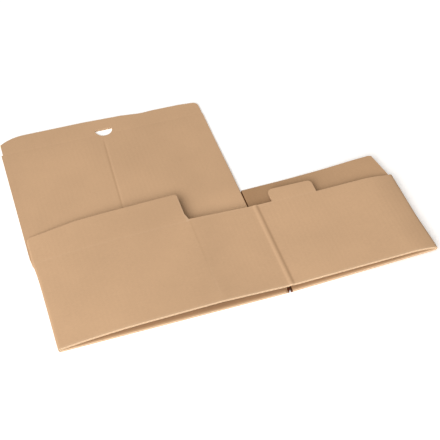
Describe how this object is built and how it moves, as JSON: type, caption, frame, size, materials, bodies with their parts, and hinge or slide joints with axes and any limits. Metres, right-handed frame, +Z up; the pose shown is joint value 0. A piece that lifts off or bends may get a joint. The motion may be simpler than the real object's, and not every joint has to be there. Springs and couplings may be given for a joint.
{
  "type": "flattened cardboard box",
  "caption": "Folding carton of corrugated board lying flat: a tube of two layers with an open lid, a tuck flap with a thumb hole, dust flaps and a tab.",
  "frame": {"origin": "middle of the underside of the whole part, on the surface that it lies on", "axes": "+X along the width of the flat tube, from the left fold to the right one; +Y from the open bottom edge to the free edge of the lid; +Z up"},
  "size_m": [0.535, 0.4, 0.022],
  "materials": {
    "kraft_board": "matt brown kraft liner"
  },
  "bodies": {
    "root": {"flattened_box": "kraft_board"}
  },
  "joints": []
}
